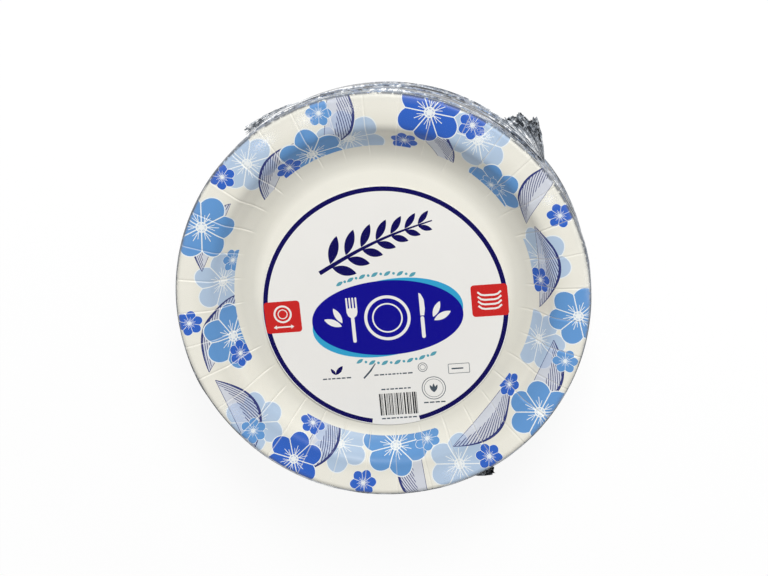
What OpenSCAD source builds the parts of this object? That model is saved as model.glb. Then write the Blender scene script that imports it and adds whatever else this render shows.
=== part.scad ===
// Shrink-wrapped stack of pressed paper plates, with a round label card lying in the well of
// the top plate. The stack stands on its base at z = 0, with its axis on Z. The label's print
// reads upright with +Y as its head.

/* [Plate] */
// Number of plates in the stack
plate_count = 40; // [10:1:48]
// Diameter of a plate over its rolled lip
plate_d = 215.9; // [200:0.1:240]
// Height from the top of the well floor to the crest of the rim
plate_depth = 17; // [14:0.5:22]
// Thickness of the pressed board
board_t = 0.45; // [0.3:0.05:0.6]
// Width of the flange and lip, out from the corner that the flange makes with the wall
flange_w = 18; // [13:0.5:24]
// Fillet radius between the well floor and the wall
base_fillet_r = 18; // [10:0.5:20]
// Slope of the wall above the horizontal
wall_angle = 52; // [40:1:55]
// Radius of the shoulder between the wall and the flange
shoulder_r = 7; // [4:0.5:9]
// Rise of the flange towards the lip
flange_angle = 8; // [2:1:14]
// Radius of the rolled lip
lip_r = 2.6; // [2:0.2:4]
// Slope of the lip's edge below the horizontal
lip_angle = 60; // [40:1:60]
// Clearance between nested plates where they are steepest
nest_gap = 0.1; // [0.05:0.05:0.2]

/* [Creases] */
// Number of pressed creases that gather the wall and flange
crease_count = 36; // [24:1:60]
// Width of a crease at the rim
crease_w = 0.9; // [0.5:0.1:1.5]
// Depth of a crease in the board's upper face
crease_depth = 0.2; // [0.1:0.05:0.25]
// Distance of a crease's inner end from the foot of the wall
crease_start = 1.5; // [0.5:0.5:4]
// Turn of the first crease from the +X axis
crease_turn = 5; // [0:0.5:10]

/* [Label card] */
// How much smaller the card is than the flat floor of the well
label_room = 7.2; // [4:0.1:16]
// How far the card has slid towards the foot of its print, where its edge rides up the fillet
label_slip = 8; // [2:0.5:9]
// Turn of that slide's direction towards +X
label_slip_turn = 7; // [-30:1:30]
// Thickness of the label card
label_t = 0.3; // [0.2:0.05:0.6]
// Turn of the card from the +X axis
label_turn = 5.5; // [-20:0.5:20]
// Thickness of the printed fields as drawn, which are raised so that they show
ink_t = 0.05; // [0.05:0.01:0.1]
// Width of the printed ring
ring_w = 2.1; // [0.8:0.1:3]
// Card left bare outside the printed ring
ring_margin = 0.5; // [0.4:0.1:3]
// Angle that the ring leaves open at the foot of the card
ring_gap = 23; // [10:1:40]
// Width of the oval field in the middle of the card
oval_w = 81.2; // [50:0.2:84]
// Height of the oval field
oval_h = 41.2; // [20:0.2:50]
// How far the oval field lies below the middle of the card
oval_drop = 5.6; // [0:0.1:8]
// Width of a red tab
tab_w = 19; // [8:0.5:20]
// Height of a red tab
tab_h = 17.5; // [8:0.5:24]
// Corner radius of a red tab
tab_corner_r = 1.8; // [0.5:0.1:3]
// How far the tabs lie below the middle of the card
tab_drop = 0.8; // [0:0.1:5]

/* [Shrink film] */
// Film thickness as drawn, thicker than the real film, which is about 0.03
film_t = 0.25; // [0.2:0.05:0.4]
// Clearance between the film and the plates
film_gap = 0.15; // [0.1:0.05:0.3]
// Width of the seam bead that runs round the film halfway up its wall
seam_w = 1.2; // [0.8:0.1:2]
// How far the seam bead stands out from the wall
seam_out = 0.35; // [0.2:0.05:0.6]
// Number of vent holes in the film under the base
vent_count = 4; // [2:1:8]
// Diameter of a vent hole
vent_d = 3; // [2:0.5:6]
// Distance of the vent holes from the axis
vent_ring_r = 45; // [20:1:60]

/* [Gathered corners] */
// How far the corner at the head of the print, on the right, reaches past the wall
head_right_reach = 12; // [4:0.5:18]
// Reach of the corner at the head, on the left
head_left_reach = 5; // [4:0.5:18]
// Reach of the corner at the foot, on the left
foot_left_reach = 9; // [4:0.5:18]
// Reach of the corner at the foot, on the right
foot_right_reach = 13; // [4:0.5:18]
// Length of a gathered corner along the wall
corner_len = 36; // [24:1:50]
// Number of folds that fan out in a gathered corner
fold_count = 9; // [4:1:14]
// Height of the folds at their outer ends
fold_h = 4; // [1:0.5:6]
// Thickness of a fold's bunched film
fold_t = 0.6; // [0.5:0.1:1]
// Number of tension folds in the wall on each side of a gathered corner
crimp_count = 4; // [1:1:6]
// Spacing of the tension folds
crimp_pitch = 2.6; // [2:0.2:4]
// How far a tension fold stands out from the wall
crimp_out = 0.2; // [0.1:0.05:0.3]

/* [Hidden] */
$fn = 96;
arc_steps = 2;
base_steps = 4;
fan_rows = 4;
cut_over = 1;

plate_r = plate_d / 2;
stack_pitch = (board_t + nest_gap) / cos(max(wall_angle, lip_angle));
floor_z = film_gap + film_t + board_t;
top_plate_z = floor_z + (plate_count - 1) * stack_pitch;
crease_angle = crease_w / plate_r * 180 / PI;
film_r = plate_r + film_gap + film_t;
corner_angle = corner_len / film_r * 180 / PI;

// Centres of the arcs in a plate's section, as [radius, height above the well floor], and the
// corner that its flange and wall would make without the shoulder
lip_c = [plate_r - lip_r * sin(lip_angle), plate_depth - lip_r];
corner = meet(along(lip_c, lip_r, flange_angle + 90), flange_angle, [plate_r - flange_w, 0], 90);
well_r = corner[0] - corner[1] / tan(wall_angle) - base_fillet_r * tan(wall_angle / 2);
base_c = [well_r, base_fillet_r];
shoulder_c = along(corner, shoulder_r / cos((wall_angle - flange_angle) / 2),
    (wall_angle + flange_angle) / 2 - 90);

// The card lies on the floor at its head and on the fillet at its foot
label_r = well_r - label_room / 2;
label_over = max(0, label_slip - label_room / 2);
label_rise = base_fillet_r - sqrt(base_fillet_r * base_fillet_r - label_over * label_over);
label_tilt = asin(label_rise / (2 * label_r));

// Lowest and highest levels of the film's upright wall, and its seam between them
wall_z = [floor_z + lip_c[1] - film_gap, top_plate_z + lip_c[1] + lip_r * cos(lip_angle)];
seam_z = (wall_z[0] + wall_z[1]) / 2;

// Each gathered corner, as [direction, reach, side that its folds fan out from]
corners = [
    [49, head_right_reach, -1], [119.5, head_left_reach, 1],
    [221, foot_left_reach, -1], [301, foot_right_reach, 1]];

function plate_name(i) = str("plate_", i < 10 ? "0" : "", i);

function along(p, distance, angle) = p + distance * [cos(angle), sin(angle)];

// Point where a line through p at angle a meets a line through q at angle b
function meet(p, a, q, b) = along(p, cross(q - p, [cos(b), sin(b)]) / sin(b - a), a);

function arc(c, r, from, to, steps = arc_steps) =
    [for (k = [0:steps]) along(c, r, from + (to - from) * k / steps)];

function reversed(points) = [for (k = [len(points) - 1:-1:0]) points[k]];

// The outlines of a plate's upper face, or of a face at a depth below it
function base_section(depth) =
    arc(base_c, base_fillet_r + depth, -90, wall_angle - 90, base_steps);

function shoulder_section(depth) =
    arc(shoulder_c, shoulder_r - depth, 90 + wall_angle, 90 + flange_angle, 1);

function lip_section(depth) = arc(lip_c, lip_r - depth, 90 + flange_angle, 90 - lip_angle);

function plate_section(depth) =
    concat([[0, -depth]], base_section(depth), shoulder_section(depth), lip_section(depth));

// The outline of a crease, from the foot of the wall to the lip
function crease_section(start_depth, depth) = concat(
    [along(base_section(start_depth)[base_steps], crease_start, wall_angle)],
    shoulder_section(depth), [lip_section(depth)[0]]);

// One crease, which starts above the wall's face and comes down into it
module crease(turn) {
    rotate([0, 0, turn - crease_angle / 2]) rotate_extrude(angle = crease_angle)
        polygon(concat(
            crease_section(-cut_over, -cut_over),
            reversed(crease_section(-crease_depth / 4, crease_depth))));
}

module plate() {
    color("ivory") difference() {
        rotate_extrude() polygon(concat(plate_section(0), reversed(plate_section(board_t))));
        for (k = [0:crease_count - 1]) crease(crease_turn + k * 360 / crease_count);
    }
}

module stacked_plate(i) {
    translate([0, 0, floor_z + (i - 1) * stack_pitch]) plate();
}

module printed_ring() {
    outer_r = label_r - ring_margin;
    open = [for (side = [-1, 1]) along([0, 0], 2 * label_r, side * ring_gap / 2 - 90)];
    difference() {
        cylinder(h = ink_t, r = outer_r);
        translate([0, 0, -cut_over]) cylinder(h = ink_t + 2 * cut_over, r = outer_r - ring_w);
        translate([0, 0, -cut_over]) linear_extrude(ink_t + 2 * cut_over)
            polygon([[0, 0], open[0], open[1]]);
    }
}

module oval_field() {
    linear_extrude(ink_t)
        polygon([for (a = [0:7.5:359]) [oval_w / 2 * cos(a), oval_h / 2 * sin(a)]]);
}

module tab() {
    inner = [tab_w - 2 * tab_corner_r, tab_h - 2 * tab_corner_r];
    translate([-tab_w / 2, -inner[1] / 2, 0]) cube([tab_w, inner[1], ink_t]);
    translate([-inner[0] / 2, -tab_h / 2, 0]) cube([inner[0], tab_h, ink_t]);
    for (x = [-1, 1], y = [-1, 1])
        translate([x * inner[0] / 2, y * inner[1] / 2, 0]) cylinder(h = ink_t, r = tab_corner_r);
}

module label_card() {
    // each tab's lower outer corner lies on the ring's outer edge
    reach = label_r - ring_margin;
    tab_foot = tab_drop + tab_h / 2;
    tab_x = sqrt(reach * reach - tab_foot * tab_foot) - tab_w / 2;
    rotate([0, 0, label_slip_turn]) translate([0, label_r - label_slip, top_plate_z + nest_gap])
        rotate([-label_tilt, 0, 0]) translate([0, -label_r, 0])
        rotate([0, 0, label_turn - label_slip_turn]) {
            color("whitesmoke") cylinder(h = label_t, r = label_r);
            translate([0, 0, label_t]) {
                color("midnightblue") printed_ring();
                color("mediumblue") translate([0, -oval_drop, 0]) oval_field();
                color("crimson") for (side = [-1, 1]) translate([side * tab_x, -tab_drop, 0]) tab();
            }
        }
}

// The section of the film at a distance outside the stack: flat under the base, taut from the
// base to the lowest rim, upright, then flat across the top
function film_section(distance) = let (
    foot_c = base_c + [0, floor_z],
    foot_r = base_fillet_r + board_t + distance,
    rim_foot = [plate_r + distance, wall_z[0]],
    span = rim_foot - foot_c,
    taper = atan2(span[1], span[0]) - acos(foot_r / norm(span)),
    crest_c = lip_c + [0, top_plate_z])
    concat(
        [[0, foot_c[1] - foot_r]],
        arc(foot_c, foot_r, -90, taper),
        [rim_foot, [plate_r + distance, wall_z[1]]],
        arc(crest_c, lip_r + distance, 90 - lip_angle, 90),
        [[0, crest_c[1] + lip_r + distance]]);

// Where point k of fold j lies, as [angle along the wall, distance outside it, height]. The
// folds spread from one end of the corner to its ragged edge, which slopes down to the other
// end, and they lie up and down in turn
function fold_point(k, j, reach, side) = let (
    across = 0.08 + 0.92 * j / (2 * fold_count),
    out = 0.12 + 0.88 * k / fan_rows,
    ragged = 1 - 0.14 * sin(157 * j) * sin(157 * j),
    turn = side * corner_angle * (0.5 - across * out),
    rise = reach * sin(180 * pow(across, 0.6)) * out * ragged,
    swing = fold_h * out * ((j % 2 == 0 ? 0.5 : -0.5) + 0.3 * sin(83 * j + 40 * k)))
    [turn, rise - film_t / 2, swing * sin(180 * pow(across, 0.5))];

module gathered_corner(reach, side) {
    folds = 2 * fold_count + 1;
    rows = fan_rows + 1;
    count = rows * folds;
    mid = [for (k = [0:fan_rows], j = [0:folds - 1])
        let (p = fold_point(k, side < 0 ? j : folds - 1 - j, reach, side))
        concat(along([0, 0], film_r + p[1], p[0]), [seam_z + p[2]])];
    points = concat(
        [for (p = mid) p + [0, 0, fold_t / 2]],
        [for (p = mid) p - [0, 0, fold_t / 2]]);
    cells = [for (k = [0:rows - 2], j = [0:folds - 2]) k * folds + j];
    rim = concat(
        [for (j = [0:folds - 2]) j],
        [for (k = [0:rows - 2]) k * folds + folds - 1],
        [for (j = [folds - 1:-1:1]) count - folds + j],
        [for (k = [rows - 1:-1:1]) k * folds]);
    faces = concat(
        [for (c = cells) each [[c, c + 1, c + folds + 1], [c, c + folds + 1, c + folds]]],
        [for (c = cells) let (b = c + count)
            each [[b, b + folds + 1, b + 1], [b, b + folds, b + folds + 1]]],
        [for (e = [0:len(rim) - 1]) let (a = rim[e], b = rim[(e + 1) % len(rim)])
            each [[a, a + count, b + count], [a, b + count, b]]]);
    polyhedron(points, faces);
}

// A ridge round part of the film's wall, with its crest at z and as wide as it is given
module wall_ridge(z, w, out, from, to) {
    rotate([0, 0, from]) rotate_extrude(angle = to - from)
        polygon([[film_r - film_t / 2, z - w / 2], [film_r + out, z - w / 8],
            [film_r + out, z + w / 8], [film_r - film_t / 2, z + w / 2]]);
}

// The tension folds that run along the wall from a gathered corner, shorter away from the seam
module crimps(side) {
    for (k = [1:crimp_count], up = [-1, 1]) {
        near = side * corner_angle * (0.3 + 0.05 * k);
        far = side * corner_angle * (1.5 - 0.2 * k);
        wall_ridge(seam_z + up * k * crimp_pitch, crimp_pitch / 3, crimp_out,
            min(near, far), max(near, far));
    }
}

module shrink_film() {
    color("lightsteelblue", 0.35) difference() {
        union() {
            rotate_extrude() polygon(film_section(film_gap + film_t));
            wall_ridge(seam_z, seam_w, seam_out, 0, 360);
            for (c = corners) rotate([0, 0, c[0]]) {
                gathered_corner(c[1], c[2]);
                crimps(1);
                crimps(-1);
            }
        }
        rotate_extrude() polygon(film_section(film_gap));
        for (k = [0:vent_count - 1])
            rotate([0, 0, (k + 0.5) * 360 / vent_count]) translate([vent_ring_r, 0, -cut_over])
                cylinder(h = floor_z + cut_over, d = vent_d);
    }
}

for (i = [1:plate_count]) stacked_plate(i);
label_card();
shrink_film();
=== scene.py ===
import math

import bpy
import numpy as np
from mathutils import Matrix, Vector
from mathutils.geometry import delaunay_2d_cdt


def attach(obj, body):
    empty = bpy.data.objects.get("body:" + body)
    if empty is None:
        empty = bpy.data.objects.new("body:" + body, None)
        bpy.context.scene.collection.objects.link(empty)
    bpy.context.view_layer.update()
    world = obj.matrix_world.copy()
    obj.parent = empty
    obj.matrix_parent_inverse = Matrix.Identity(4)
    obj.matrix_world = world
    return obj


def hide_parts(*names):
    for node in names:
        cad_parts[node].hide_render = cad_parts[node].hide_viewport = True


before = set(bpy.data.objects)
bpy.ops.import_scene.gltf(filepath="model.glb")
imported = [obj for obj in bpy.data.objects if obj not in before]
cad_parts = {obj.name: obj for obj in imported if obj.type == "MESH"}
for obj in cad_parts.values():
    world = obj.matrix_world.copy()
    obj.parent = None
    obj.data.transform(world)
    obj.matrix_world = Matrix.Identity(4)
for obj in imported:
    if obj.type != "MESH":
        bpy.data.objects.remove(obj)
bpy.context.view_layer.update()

print("frame loaded")

mm = 0.001

# The pack's own sizes in millimetres, as in the part's source
stack = {
    "plates": 40,
    "board": 0.45,
    "pitch": 1.1,
    "topFloor": 43.75,  # upper face of the top plate's well
    "firstEdge": 16.15,  # height of the lowest plate's cut edge
    "baseArc": (69.598, 18.0, 18.0),  # fillet at the wall's foot: radius out, height, arc radius
    "shoulderArc": (93.725, 8.274, 7.0),
    "lipArc": (105.698, 14.4, 2.6),
    "wallSlope": 52.0,
    "flangeSlope": 8.0,
    "lipSlope": 60.0,
}


def hexToLinear(code):
    # each sRGB byte c becomes c / 12.92 near black, else ((c + 0.055) / 1.055) ^ 2.4
    channels = [int(code[i:i + 2], 16) / 255 for i in (1, 3, 5)]
    return tuple(c / 12.92 if c < 0.04045 else ((c + 0.055) / 1.055) ** 2.4
                 for c in channels) + (1.0,)


def fillInputs(tree, node, values):
    # values fill the inputs in order, or by name where they are a dictionary
    pairs = values.items() if isinstance(values, dict) else enumerate(values)
    for key, value in pairs:
        if isinstance(value, bpy.types.Node):
            value = value.outputs[0]
        if isinstance(value, bpy.types.NodeSocket):
            tree.links.new(value, node.inputs[key])
        else:
            node.inputs[key].default_value = value


def addNode(tree, kind, values=(), **settings):
    # one node with its settings and its inputs
    node = tree.nodes.new("ShaderNode" + kind)
    for name, value in settings.items():
        setattr(node, name, value)
    fillInputs(tree, node, values)
    return node


def treeOf(*values):
    # the node tree in which the sockets among these values lie
    return next(value.id_data for value in values
                if isinstance(value, (bpy.types.Node, bpy.types.NodeSocket)))


def calc(operation, *values, clamp=False):
    return addNode(treeOf(*values), "Math", values, operation=operation, use_clamp=clamp)


def times(value, factor, *plus, clamp=False):
    # value * factor, or value * factor + plus
    return calc("MULTIPLY_ADD" if plus else "MULTIPLY", value, factor, *plus, clamp=clamp)


def vectorMath(operation, *values):
    return addNode(treeOf(*values), "VectorMath", values, operation=operation)


def blend(share, colour, other, method="MIX"):
    # mixes two colours and gives the socket with the result
    return addNode(treeOf(share, colour, other), "Mix", {0: share, 6: colour, 7: other},
                   data_type="RGBA", blend_type=method).outputs[2]


def remap(value, start, end, low=0.0, high=1.0):
    # start to end becomes low to high, held beyond
    return addNode(treeOf(value), "MapRange", {
        "Value": value, "From Min": start, "From Max": end, "To Min": low, "To Max": high})


def noise(place, scale, detail, rough=0.5):
    return addNode(treeOf(place), "TexNoise", {
        "Vector": place, "Scale": scale, "Detail": detail, "Roughness": rough})


def relief(height, strength, depth):
    return addNode(treeOf(height), "Bump", {
        "Height": height, "Strength": strength, "Distance": depth})


def colourRamp(value, steps, interpolation="LINEAR"):
    # steps of position and colour; the first two take the ramp's own two marks
    node = addNode(treeOf(value), "ValToRGB", [value])
    node.color_ramp.interpolation = interpolation
    marks = node.color_ramp.elements
    for index, (position, colour) in enumerate(steps):
        mark = marks[index] if index < 2 else marks.new(position)
        mark.position, mark.color = position, colour
    return node


def split(vector):
    return addNode(treeOf(vector), "SeparateXYZ", [vector]).outputs


def join(*values):
    return addNode(treeOf(*values), "CombineXYZ", values)


def readMarks(tree, name):
    return addNode(tree, "Attribute", attribute_name=name).outputs["Vector"]


def newMaterial(name):
    # an empty finish, its nodes, and the place on the piece in metres
    material = bpy.data.materials.new(name)
    material.use_nodes = True
    tree = material.node_tree
    tree.nodes.clear()
    return material, tree, addNode(tree, "TexCoord").outputs["Object"]


def finishSurface(tree, values):
    # the shader's fixed numbers sit on its own sockets, and only patterns are linked to it
    addNode(tree, "OutputMaterial", {"Surface": addNode(tree, "BsdfPrincipled", values)})


def coatedFinish(tree, coordinate, colour, look, gloss, shine):
    # a coated sheet: a faint cloudy tone, a fine grain in its relief and gloss, and a soft shine
    tint = remap(noise(coordinate, *look["cloud"]), 0.0, 1.0, *look["tones"])
    grain = noise(coordinate, *look["grain"])
    finishSurface(tree, {
        "Base Color": blend(1.0, colour, tint, "MULTIPLY"),
        "Roughness": remap(grain, 0.0, 1.0, *gloss),
        "Normal": relief(grain, *look["relief"]), "IOR": 1.5, **shine})


def arcPoints(arc, start, end, steps):
    # centre + radius * (cos, sin) at even steps between two angles in degrees
    a = np.radians(np.linspace(start, end, steps + 1))
    return np.stack([arc[0] + arc[2] * np.cos(a), arc[1] + arc[2] * np.sin(a)], 1)


def joinSections(parts, spacing):
    # joins arcs with straight runs, each run cut into even steps of about its spacing
    points = [parts[0]]
    for part, step in zip(parts[1:], spacing):
        a, b = points[-1][-1], part[0]
        count = max(1, int(round(float(np.hypot(*(b - a))) / step)))
        run = a + (b - a) * (np.arange(1, count) / count)[:, None]
        points += [run, part]
    return np.concatenate([p for p in points if len(p)])


def tangents(path):
    # unit directions along a path
    steps = np.gradient(path, axis=0)
    return steps / np.linalg.norm(steps, axis=1)[:, None]


def bell(x):
    # e ^ (-x * x)
    return np.exp(-x ** 2)


def turnFrom(at, angle):
    # from one direction to another in degrees, between -180 and 180
    return (angle - at + 180) % 360 - 180


def ringGrid(columns, radius, height):
    # a closed shape of revolution: every ring of the section gets one point a column, the first
    # and last rings are poles; radius and height are arrays of rings by columns
    rings, cols = radius.shape
    x, y = radius * np.cos(columns), radius * np.sin(columns)
    inner = np.stack([x, y, height], -1)[1:-1].reshape(-1, 3)
    poles = [[0, 0, height[0].mean()], [0, 0, height[-1].mean()]]
    points = np.concatenate([inner, poles])
    first, last = len(points) - 2, len(points) - 1
    start = np.arange(rings - 3)[:, None] * cols
    end = (rings - 3) * cols
    j = np.arange(cols)
    nextJ = (j + 1) % cols
    quads = np.stack([start + j, start + cols + j, start + cols + nextJ, start + nextJ], -1)
    fans = np.concatenate([
        np.stack([np.full(cols, first), j, nextJ], -1),
        np.stack([np.full(cols, last), end + nextJ, end + j], -1)])
    return points, quads.reshape(-1, 4), fans


def addObject(name, data):
    thing = bpy.data.objects.new(name, data)
    bpy.context.scene.collection.objects.link(thing)
    return thing


def makePiece(name, points, faces, materials, smooth=True):
    mesh = bpy.data.meshes.new(name)
    mesh.from_pydata((np.asarray(points) * mm).tolist(), [], faces)
    mesh.polygons.foreach_set("use_smooth", np.full(len(mesh.polygons), smooth))
    piece = addObject(name, mesh)
    for material in materials:
        mesh.materials.append(material)
    mesh.update()
    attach(piece, "root")
    return piece


def writeMarks(piece, name, domain, values):
    # one vector for each point or face corner, which the finish reads by this name
    attribute = piece.data.attributes.new(name, "FLOAT_VECTOR", domain)
    attribute.data.foreach_set("vector", values.ravel())


# The top plate is drawn finer than its CAD shape
topPlate = {
    "creases": 36,
    "firstCrease": 5.0,  # degrees
    "creaseDepth": 0.3,
    "creaseHalfWidth": 0.46,
    "creaseBank": 0.1,  # how far the board rises beside a crease
    "creaseStart": (70.5, 6.0),  # where creases begin on the flat blank, and how much that varies
    "creaseRun": 5.0,  # over which they grow
    "creaseStrength": (0.6, 1.0),
    "underShare": 0.35,  # how much of a crease shows underneath
    "edgeBulge": 0.13,  # of the cut edge at the lip
    "printStart": 80.1,  # radius on the flat blank where the print begins
    "waves": 0.07,  # how far the board swells between two creases
    "creaseWearAndHighlight": 0.7,  # how white the board is painted along one flank of a crease: print pressed paler there, and partly a painted highlight
    "washShare": 0.6,  # of a leaf's pale wash
    # painted shade: the board is painted greyer where the well's shade falls
    "paintedShadeSpan": (60.0, 110.0),  # radii on the blank between which shade is painted into the board's colour
    "paintedShadeEnds": (0.11, 0.92),  # shares of that way
    "paintedShadeLevels": ((0.2, 0.84), (0.32, 0.8), (0.44, 0.88), (0.6, 0.95), (0.7, 0.86), (0.82, 0.94)),
    # each layer of the print: how many motifs, their sizes, the places of even and odd ones on
    # the blank, seed, turn, and tones; blossoms from pale at 0 to royal blue at 1
    "motifs": {
        "backBlossoms": (9, (15.5, 18.5), 88, 104, 11, 0.5, [0.1]),
        "broadBlossoms": (9, (15.5, 18.5), 107, 86, 12, 0.0, [0.5, 0.5, 0.9, 0.5]),
        "smallBlossoms": (18, (6.4, 7.6), 84, 108, 13, 0.25, [0.9, 0.9, 0.5]),
        "leaves": (12, (21.0, 25.0), 92, 103, 14, 0.3, [0.0]),
    },
}

offPrint = 9.0  # a place outside every motif

# in shares of a blossom's radius
blossomShape = {
    "petalMiddle": 0.56,
    "petalLength": 0.44,  # both are half sizes
    "petalWidth": 0.365,
    "gap": 0.017,
    "halo": 1.08,
    "core": 0.17,
    "dot": 0.028,
    "dotOut": 0.11,
    "vein": (0.011, 0.5),  # half width and end
    "sideVein": (0.010, 0.38),
    "sideSlope": 0.42,
    "sideFoot": 0.16,
}

# in shares of half a leaf's length
leafShape = {
    "lens": 0.3,
    "bend": 0.3,
    "line": 0.006,
    "heavyLine": 0.024,  # on one side, and thinner by the next towards the tips
    "heavyTaper": 0.022,
    "ribSlope": 0.42,
    "ribStep": 0.058,
    "rib": 0.019,
    "ribsFrom": -0.06,
}

# coated pressed board: clouds of 9 mm and fibres of 0.5 mm; scale per metre, detail, roughness
boardLook = {
    "cloud": (110.0, 2.0),
    "tones": (0.975, 1.015),
    "grain": (2000.0, 3.0, 0.6),
    "relief": (0.12, 0.00005),
    "gloss": (0.36, 0.5),
    "shine": {"Specular IOR Level": 0.3, "Coat Weight": 0.05, "Coat Roughness": 0.28},
}

inks = {name: hexToLinear(code) for name, code in {
    "board": "#F3F0E4",
    "wornAndLitInk": "#F8F5EA",
    "pale": "#B9CEE6",
    "wash": "#C3CCE4",
    "mid": "#649BD6",
    "royal": "#2A62C6",
    "line": "#232F72",
    "white": "#F4F8F8",
}.items()}


def plateSection(depth, fine):
    # the plate's upper face, or a face at a depth below it, from the centre to the lip's edge
    base, shoulder, lip = stack["baseArc"], stack["shoulderArc"], stack["lipArc"]
    wall, flange, edge = stack["wallSlope"], stack["flangeSlope"], stack["lipSlope"]
    return joinSections([
        np.array([[0.0, -depth]]),
        np.array([[64.0, -depth]]),
        arcPoints((base[0], base[1], base[2] + depth), -90, wall - 90, 4 * fine),
        arcPoints((shoulder[0], shoulder[1], shoulder[2] - depth), 90 + wall, 90 + flange, 3 * fine),
        arcPoints((lip[0], lip[1], lip[2] - depth), 90 + flange, 90 - edge, 4 * fine)],
        [30.0, 5.0, 2.4 / fine, 2.4 / fine])


def creaseColumns():
    # columns lie close together across each crease and further apart between two creases
    near = np.array([-0.85, -0.6, -0.42, -0.3, -0.2, -0.1, 0.0, 0.1, 0.2, 0.3, 0.42, 0.6, 0.85])
    pitch = 360 / topPlate["creases"]
    far = np.linspace(0.85, pitch - 0.85, 14)[1:-1]
    one = np.concatenate([near, far])
    turns = topPlate["firstCrease"] + pitch * np.arange(topPlate["creases"])
    return np.radians((turns[:, None] + one[None, :]).ravel())


def layMotifs(count, sizes, evenPlace, oddPlace, seed, turnStep):
    # motifs of one kind round the blank at even steps, each moved a little by a seeded draw, in
    # turn near the well and near the lip; returns centre, size and turn of each
    draw = np.random.default_rng(seed)
    angle = (np.arange(count) + draw.uniform(-0.16, 0.16, count) + turnStep) * 2 * math.pi / count
    out = np.where(np.arange(count) % 2 == 0, evenPlace, oddPlace) + draw.uniform(-1.5, 1.5, count)
    size = draw.uniform(sizes[0], sizes[1], count)
    turn = draw.uniform(0, 2 * math.pi, count)
    centre = np.stack([out * np.cos(angle), out * np.sin(angle)], -1)
    return centre, size, turn


def paintMotifs(corners, printed, centre, size, turn, tone):
    # each face takes the motif nearest for its size, and its corners keep their place in its frame:
    # (corner - centre) turned back and divided by the motif's size, with the motif's tone as third
    gap = np.linalg.norm(corners.mean(1)[:, None] - centre[None], axis=-1) / size
    pick = gap.argmin(1)
    local = corners - centre[pick][:, None]
    c, s = np.cos(turn[pick])[:, None], np.sin(turn[pick])[:, None]
    x = (local[..., 0] * c + local[..., 1] * s) / size[pick][:, None]
    y = (local[..., 1] * c - local[..., 0] * s) / size[pick][:, None]
    x, y = (np.where(printed[:, None], value, offPrint) for value in (x, y))
    return np.stack([x, y, np.broadcast_to(tone[pick][:, None], x.shape)], -1)


def newInkGroup(name, masks):
    # nodes from a motif's own frame to its masks; gives the group, its end, and x, y and tone
    tree = bpy.data.node_groups.new(name, "ShaderNodeTree")
    tree.interface.new_socket("Local", in_out="INPUT", socket_type="NodeSocketVector")
    for mask in masks:
        tree.interface.new_socket(mask, in_out="OUTPUT", socket_type="NodeSocketFloat")
    start = tree.nodes.new("NodeGroupInput")
    return tree, tree.nodes.new("NodeGroupOutput"), split(start)


def blossomGroup():
    # one blossom in its own frame: six broad petals, each an ellipse cut by its wedge with a thin
    # white line between neighbours, a white halo, three fine veins a petal and a dotted centre
    tree, end, (x, y, tone) = newInkGroup("blossomInk", ("Petal", "Line", "Halo", "Tone"))
    shape = blossomShape
    reach = vectorMath("LENGTH", join(x, y, 0.0)).outputs[1]
    wedge = calc("PINGPONG", calc("ARCTAN2", y, x), math.pi / 6)
    along = times(reach, calc("COSINE", wedge))
    across = times(reach, calc("SINE", wedge))
    length = shape["petalLength"]
    petalX = times(along, 1 / length, -shape["petalMiddle"] / length)
    petalY = times(across, 1 / shape["petalWidth"])
    petal = vectorMath("LENGTH", join(petalX, petalY, 0.0)).outputs[1]
    inside = calc("LESS_THAN", petal, 1.0)
    # distance to the line between two petals: along * sin 30 - across * cos 30
    apart = calc("SUBTRACT", times(along, math.sin(math.pi / 6)), times(across, math.cos(math.pi / 6)))
    inside = times(inside, calc("GREATER_THAN", apart, shape["gap"]))
    core = calc("LESS_THAN", reach, shape["core"])
    halo = calc("MAXIMUM", calc("LESS_THAN", petal, shape["halo"]), core)
    veinWidth, veinEnd = shape["vein"]
    middleVein = times(calc("LESS_THAN", across, veinWidth), calc("LESS_THAN", along, veinEnd))
    slope = shape["sideSlope"]
    sideLine = times(along, -slope, slope * shape["sideFoot"])
    sideLine = calc("ADD", across, sideLine)
    veinWidth, veinEnd = shape["sideVein"]
    sideVein = times(calc("COMPARE", sideLine, 0.0, veinWidth), calc("LESS_THAN", along, veinEnd))
    fromDot = join(calc("ADD", along, -shape["dotOut"]), across, 0.0)
    dot = calc("LESS_THAN", vectorMath("LENGTH", fromDot).outputs[1], shape["dot"])
    lines = calc("MAXIMUM", calc("MAXIMUM", middleVein, sideVein), calc("SUBTRACT", core, dot))
    fillInputs(tree, end, [calc("MAXIMUM", inside, dot), lines, halo, tone])
    return tree


def leafGroup():
    # one long leaf in its own frame, from x = -1 to x = 1: a bent lens with one heavy edge, long
    # fine ribs that run slowly across the half beside it, and a pale wash
    tree, end, (x, y, _) = newInkGroup("leafInk", ("Line", "Wash"))
    shape = leafShape
    square = times(x, x)
    lens = times(square, -shape["lens"], shape["lens"])
    bent = times(square, shape["bend"], y)
    away = calc("ABSOLUTE", bent)
    inside = calc("LESS_THAN", away, lens)
    upper = calc("GREATER_THAN", bent, 0.0)
    heavy = times(square, -shape["heavyTaper"], shape["heavyLine"])
    edge = calc("COMPARE", away, lens, times(upper, heavy, shape["line"]))
    slant = times(x, -shape["ribSlope"], bent)
    ribs = calc("LESS_THAN", calc("FLOORED_MODULO", slant, shape["ribStep"]), shape["rib"])
    ribs = times(ribs, calc("GREATER_THAN", bent, shape["ribsFrom"]))
    edge = times(edge, calc("LESS_THAN", square, 1.0))
    lines = calc("MAXIMUM", times(ribs, inside), edge)
    fillInputs(tree, end, [lines, inside])
    return tree


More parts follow.
